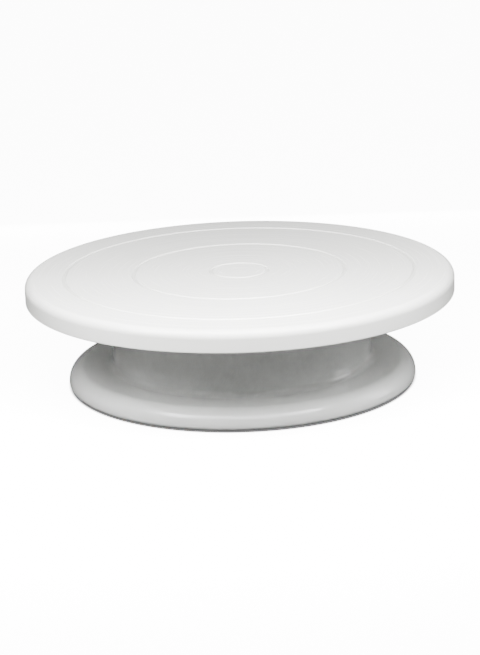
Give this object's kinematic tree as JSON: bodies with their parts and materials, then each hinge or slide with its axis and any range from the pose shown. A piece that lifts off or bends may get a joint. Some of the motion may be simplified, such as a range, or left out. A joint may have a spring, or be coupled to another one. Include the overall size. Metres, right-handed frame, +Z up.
{
  "type": "cake turntable",
  "caption": "Round white turntable for decorating cakes: a plate with guide rings spins on a caged ball bearing over a round pedestal base.",
  "frame": {"origin": "centre of the underside, at the level of the table", "axes": "+Z up along the spin axis; +X and +Y in the plane of the table"},
  "size_m": [0.28, 0.28, 0.0725],
  "materials": {
    "white_plastic": "satin gloss, moulded",
    "white_plastic_base": "polished, moulded",
    "nylon": "natural, moulded",
    "race_steel": "turned and ground",
    "ball_steel": "lapped",
    "zinc_steel": "bright zinc plated",
    "rubber": "matt, moulded"
  },
  "bodies": {
    "base": {"base_shell": "white_plastic_base", "lower_race": "race_steel", "lower_race_screws": "zinc_steel", "upper_bush": "nylon", "lower_bush": "nylon", "rubber_foot_1": "rubber", "rubber_foot_2": "rubber", "rubber_foot_3": "rubber", "rubber_foot_4": "rubber"},
    "plate": {"top_plate": "white_plastic", "spindle": "zinc_steel", "upper_race": "race_steel", "upper_race_screws": "zinc_steel", "thrust_washer": "nylon", "disc_spring": "zinc_steel", "plain_washer": "zinc_steel", "lock_nut": "zinc_steel"},
    "cage": {"ball_cage": "nylon"},
    "ball_01": {"ball_01": "ball_steel"},
    "ball_02": {"ball_02": "ball_steel"},
    "ball_03": {"ball_03": "ball_steel"},
    "ball_04": {"ball_04": "ball_steel"},
    "ball_05": {"ball_05": "ball_steel"},
    "ball_06": {"ball_06": "ball_steel"},
    "ball_07": {"ball_07": "ball_steel"},
    "ball_08": {"ball_08": "ball_steel"},
    "ball_09": {"ball_09": "ball_steel"},
    "ball_10": {"ball_10": "ball_steel"},
    "ball_11": {"ball_11": "ball_steel"},
    "ball_12": {"ball_12": "ball_steel"}
  },
  "joints": [
    {"name": "plate_spin", "type": "hinge", "parent": "base", "child": "plate", "pos_m": [0, 0, 0.0603], "axis": [0, 0, 1], "continuous": true},
    {"name": "cage_spin", "type": "hinge", "parent": "base", "child": "cage", "pos_m": [0, 0, 0.0603], "axis": [0, 0, 1], "continuous": true},
    {"name": "ball_01_roll", "type": "hinge", "parent": "cage", "child": "ball_01", "pos_m": [0.033, 0, 0.0603], "axis": [1, 0, 0], "continuous": true},
    {"name": "ball_02_roll", "type": "hinge", "parent": "cage", "child": "ball_02", "pos_m": [0.02858, 0.0165, 0.0603], "axis": [0.866, 0.5, 0], "continuous": true},
    {"name": "ball_03_roll", "type": "hinge", "parent": "cage", "child": "ball_03", "pos_m": [0.0165, 0.02858, 0.0603], "axis": [0.5, 0.866, 0], "continuous": true},
    {"name": "ball_04_roll", "type": "hinge", "parent": "cage", "child": "ball_04", "pos_m": [0, 0.033, 0.0603], "axis": [0, 1, 0], "continuous": true},
    {"name": "ball_05_roll", "type": "hinge", "parent": "cage", "child": "ball_05", "pos_m": [-0.0165, 0.02858, 0.0603], "axis": [-0.5, 0.866, 0], "continuous": true},
    {"name": "ball_06_roll", "type": "hinge", "parent": "cage", "child": "ball_06", "pos_m": [-0.02858, 0.0165, 0.0603], "axis": [-0.866, 0.5, 0], "continuous": true},
    {"name": "ball_07_roll", "type": "hinge", "parent": "cage", "child": "ball_07", "pos_m": [-0.033, 0, 0.0603], "axis": [-1, 0, 0], "continuous": true},
    {"name": "ball_08_roll", "type": "hinge", "parent": "cage", "child": "ball_08", "pos_m": [-0.02858, -0.0165, 0.0603], "axis": [-0.866, -0.5, 0], "continuous": true},
    {"name": "ball_09_roll", "type": "hinge", "parent": "cage", "child": "ball_09", "pos_m": [-0.0165, -0.02858, 0.0603], "axis": [-0.5, -0.866, 0], "continuous": true},
    {"name": "ball_10_roll", "type": "hinge", "parent": "cage", "child": "ball_10", "pos_m": [0, -0.033, 0.0603], "axis": [0, -1, 0], "continuous": true},
    {"name": "ball_11_roll", "type": "hinge", "parent": "cage", "child": "ball_11", "pos_m": [0.0165, -0.02858, 0.0603], "axis": [0.5, -0.866, 0], "continuous": true},
    {"name": "ball_12_roll", "type": "hinge", "parent": "cage", "child": "ball_12", "pos_m": [0.02858, -0.0165, 0.0603], "axis": [0.866, -0.5, 0], "continuous": true}
  ],
  "couplings": [
    {"joint": "cage_spin", "follows": "plate_spin", "ratio": 0.5},
    {"joint": "ball_01_roll", "follows": "plate_spin", "ratio": -5.5},
    {"joint": "ball_02_roll", "follows": "plate_spin", "ratio": -5.5},
    {"joint": "ball_03_roll", "follows": "plate_spin", "ratio": -5.5},
    {"joint": "ball_04_roll", "follows": "plate_spin", "ratio": -5.5},
    {"joint": "ball_05_roll", "follows": "plate_spin", "ratio": -5.5},
    {"joint": "ball_06_roll", "follows": "plate_spin", "ratio": -5.5},
    {"joint": "ball_07_roll", "follows": "plate_spin", "ratio": -5.5},
    {"joint": "ball_08_roll", "follows": "plate_spin", "ratio": -5.5},
    {"joint": "ball_09_roll", "follows": "plate_spin", "ratio": -5.5},
    {"joint": "ball_10_roll", "follows": "plate_spin", "ratio": -5.5},
    {"joint": "ball_11_roll", "follows": "plate_spin", "ratio": -5.5},
    {"joint": "ball_12_roll", "follows": "plate_spin", "ratio": -5.5}
  ]
}
